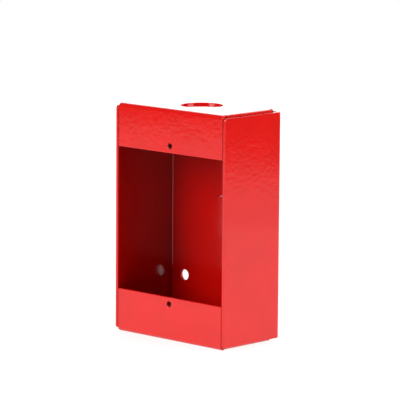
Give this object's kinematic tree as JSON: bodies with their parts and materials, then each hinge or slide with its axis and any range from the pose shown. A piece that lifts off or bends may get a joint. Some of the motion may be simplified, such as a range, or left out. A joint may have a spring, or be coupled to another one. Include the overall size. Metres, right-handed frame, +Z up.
{
  "type": "surface back box",
  "caption": "Empty red steel surface back box for a wall horn strobe, open at the front, with tapped flanges, wall screw holes and closed conduit knockouts.",
  "frame": {"origin": "centre of the four wall screw holes, on the rear face that lies against the wall", "axes": "+Y from the open front into the wall, +Z up, +X to the right as seen from the front"},
  "size_m": [0.079, 0.043, 0.1222],
  "materials": {
    "red_powder_coat": "gloss powder coat with fine orange peel",
    "bare_steel_thread": "tapped thread, bare and slightly dull"
  },
  "bodies": {
    "root": {"wrap": "red_powder_coat", "top_cap": "red_powder_coat", "bottom_cap": "red_powder_coat", "knockout_slug_top": "red_powder_coat", "knockout_slug_bottom": "red_powder_coat", "knockout_slug_back": "red_powder_coat"}
  },
  "joints": []
}
